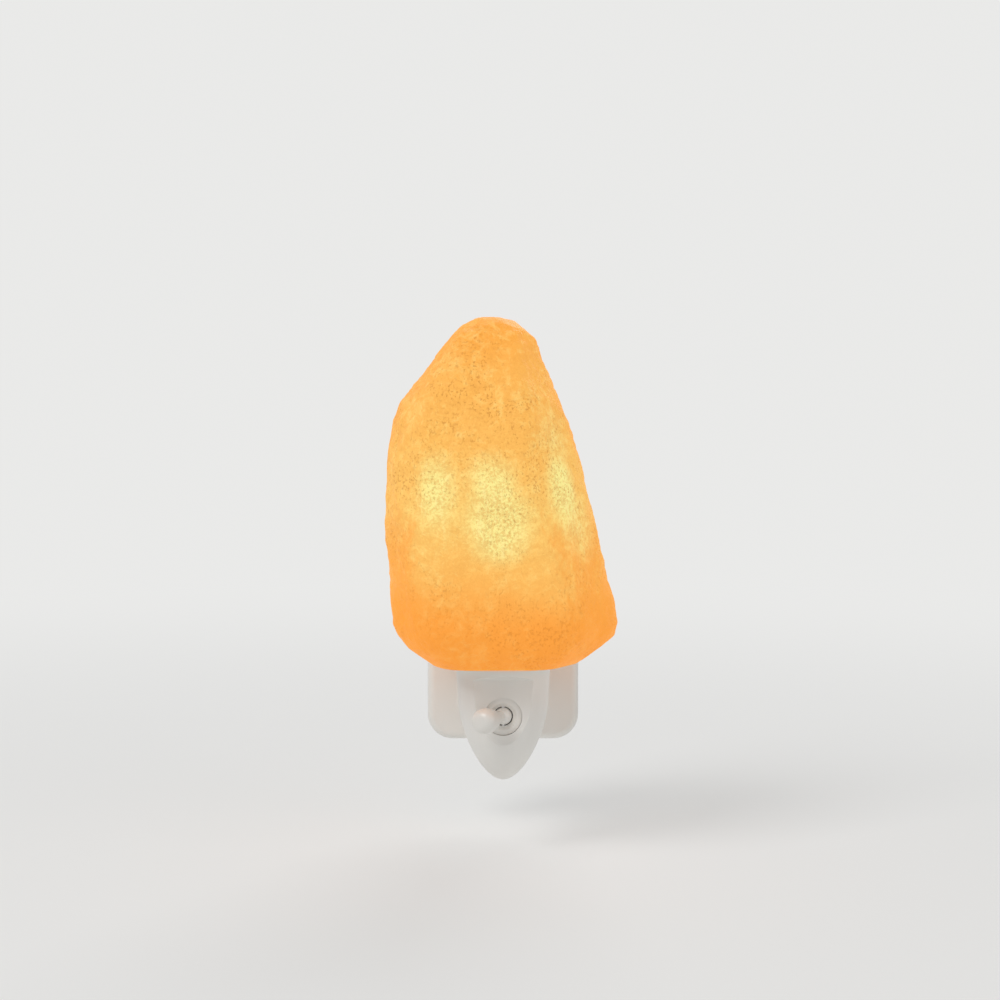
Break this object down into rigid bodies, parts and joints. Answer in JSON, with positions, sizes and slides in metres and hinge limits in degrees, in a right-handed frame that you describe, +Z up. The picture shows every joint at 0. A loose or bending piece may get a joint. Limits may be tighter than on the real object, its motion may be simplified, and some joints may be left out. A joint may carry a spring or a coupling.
{
  "type": "plug-in salt lamp",
  "caption": "Lit salt rock seated over a small bulb on a white lampholder cup with a toggle switch, carried by a neck on a three-pin wall plug.",
  "frame": {"origin": "centre of the plug's rear face, which lies on the wall socket", "axes": "+X to the right for someone facing the wall, +Y into the wall along the pins, +Z up"},
  "size_m": [0.074, 0.1, 0.1486],
  "materials": {
    "salt": "satin",
    "white_plastic": "satin",
    "switch_plastic": "satin",
    "holder_plastic": "matte",
    "dark_plastic": "matte",
    "brass": "polished",
    "steel": "satin",
    "spring_steel": "satin",
    "plated_cap": "polished",
    "cap_insulator": "gloss",
    "clear_glass": "gloss",
    "filament": "matte",
    "brown_insulation": "satin",
    "blue_insulation": "satin"
  },
  "bodies": {
    "base": {"lamp_housing": "white_plastic", "plug_back_cover": "white_plastic", "crystal_seat": "white_plastic", "switch_bush": "switch_plastic", "lampholder_body": "holder_plastic", "switch_body": "dark_plastic", "pin_sleeves": "dark_plastic", "live_pin": "brass", "neutral_pin": "brass", "screw_shell": "brass", "centre_contact": "brass", "feed_terminal": "brass", "lamp_terminal": "brass", "seat_screws": "steel", "cover_screws": "steel", "lever_pivot_pin": "steel", "crystal_spring_clip": "spring_steel", "live_lead": "brown_insulation", "switch_lead": "brown_insulation", "neutral_lead": "blue_insulation"},
    "lever": {"toggle_lever": "switch_plastic"},
    "slider": {"contact_slider": "dark_plastic", "bridge_contact": "brass"},
    "crystal": {"salt_crystal": "salt"},
    "bulb_foot": {"bulb_cap_contact": "plated_cap", "bulb_cap_insulator": "cap_insulator"},
    "bulb": {"bulb_glass": "clear_glass", "bulb_cap": "plated_cap", "bulb_stem": "clear_glass", "bulb_lead_wires": "steel", "bulb_filament": "filament"}
  },
  "joints": [
    {"name": "lever_throw", "type": "hinge", "parent": "base", "child": "lever", "pos_m": [0, -0.0569, -0.01], "axis": [0, 0, 1], "range_deg": [0, 60]},
    {"name": "slider_travel", "type": "slide", "parent": "base", "child": "slider", "axis": [1, 0, 0], "range_m": [-0.005, 0]},
    {"name": "crystal_lift", "type": "slide", "parent": "base", "child": "crystal", "axis": [0, 0, 1], "range_m": [0, 0.075]},
    {"name": "bulb_rise", "type": "slide", "parent": "base", "child": "bulb_foot", "axis": [0, 0, 1], "range_m": [0, 0.01129]},
    {"name": "bulb_turn", "type": "hinge", "parent": "bulb_foot", "child": "bulb", "pos_m": [0, -0.0475, 0], "axis": [0, 0, 1], "range_deg": [0, 1440]}
  ],
  "couplings": [
    {"joint": "lever_throw", "follows": "slider_travel", "rad_per_m": -209.44},
    {"joint": "bulb_turn", "follows": "bulb_rise", "rad_per_m": 2226.5}
  ]
}
